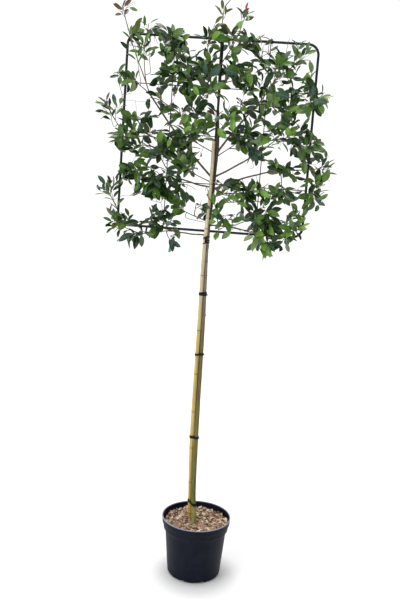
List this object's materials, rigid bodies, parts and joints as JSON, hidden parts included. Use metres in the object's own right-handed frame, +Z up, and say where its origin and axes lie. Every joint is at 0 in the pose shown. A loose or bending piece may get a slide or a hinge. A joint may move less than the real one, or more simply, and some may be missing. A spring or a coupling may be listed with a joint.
{
  "type": "pleached photinia red robin in a pot",
  "caption": "Evergreen photinia with a tall clear stem in a round nursery pot, its crown trained flat on a square steel frame tied to the stem and a bamboo cane.",
  "frame": {"origin": "middle of the pot's flat underside", "axes": "+Z up the stem, +X to the right across the crown's flat face, -Y out of the face of the crown"},
  "size_m": [1.5472, 0.464, 3.7496],
  "materials": {
    "pot_plastic": "matte moulded, faintly ribbed, charcoal",
    "bark_chips": "loose bark mulch, tan and pinkish brown with dark gaps",
    "stem_bark": "smooth young bark, olive green low down and grey-brown above",
    "bough_bark": "thin young bark, pinkish brown, matt",
    "bamboo": "straw-yellow bamboo with darker nodes, satin",
    "tie_rubber": "black rubber strap, matt",
    "black_steel": "blue-black powder coat, satin",
    "foliage": "leathery leaves, glossy dark green above and dull grey-green below, young ones bronze or red"
  },
  "bodies": {
    "root": {"pot": "pot_plastic", "soil": "bark_chips", "stem": "stem_bark", "cane": "bamboo", "frame_left_post": "black_steel", "frame_right_post": "black_steel", "frame_bottom_left_bend": "black_steel", "frame_top_left_bend": "black_steel", "frame_bottom_right_bend": "black_steel", "frame_top_right_bend": "black_steel", "frame_bottom_rail": "black_steel", "frame_top_rail": "black_steel", "frame_centre_tube": "black_steel", "frame_low_rod": "black_steel", "frame_middle_rod": "black_steel", "frame_high_rod": "black_steel", "frame_left_upright": "black_steel", "frame_right_upright": "black_steel", "tie_1": "tie_rubber", "tie_2": "tie_rubber", "tie_3": "tie_rubber", "tie_4": "tie_rubber", "frame_tie": "tie_rubber", "left_main_bough": "bough_bark", "left_side_bough": "bough_bark", "left_low_bough": "bough_bark", "left_rail_bough": "bough_bark", "left_upper_bough": "bough_bark", "right_upper_bough": "bough_bark", "right_middle_bough": "bough_bark", "right_low_bough": "bough_bark", "right_rail_bough": "bough_bark", "leader_shoot": "foliage", "top_right_shoot": "foliage", "heart_right_foliage": "foliage", "heart_left_foliage": "foliage", "left_heart_foliage": "foliage", "left_top_shoot": "foliage", "left_corner_shoot": "foliage", "left_outer_shoot": "foliage", "left_side_foliage": "foliage", "left_inner_foliage": "foliage", "left_middle_foliage": "foliage", "left_arm_foliage": "foliage", "left_hanging_foliage": "foliage", "left_under_foliage": "foliage", "left_low_foliage": "foliage", "left_foot_foliage": "foliage", "left_rail_foliage": "foliage", "right_foot_foliage": "foliage", "right_low_foliage": "foliage", "right_rail_foliage": "foliage", "right_corner_foliage": "foliage", "right_outer_foliage": "foliage", "right_arm_foliage": "foliage", "right_side_foliage": "foliage", "right_inner_foliage": "foliage", "right_heart_foliage": "foliage", "right_upper_foliage": "foliage", "right_top_foliage": "foliage"}
  },
  "joints": []
}
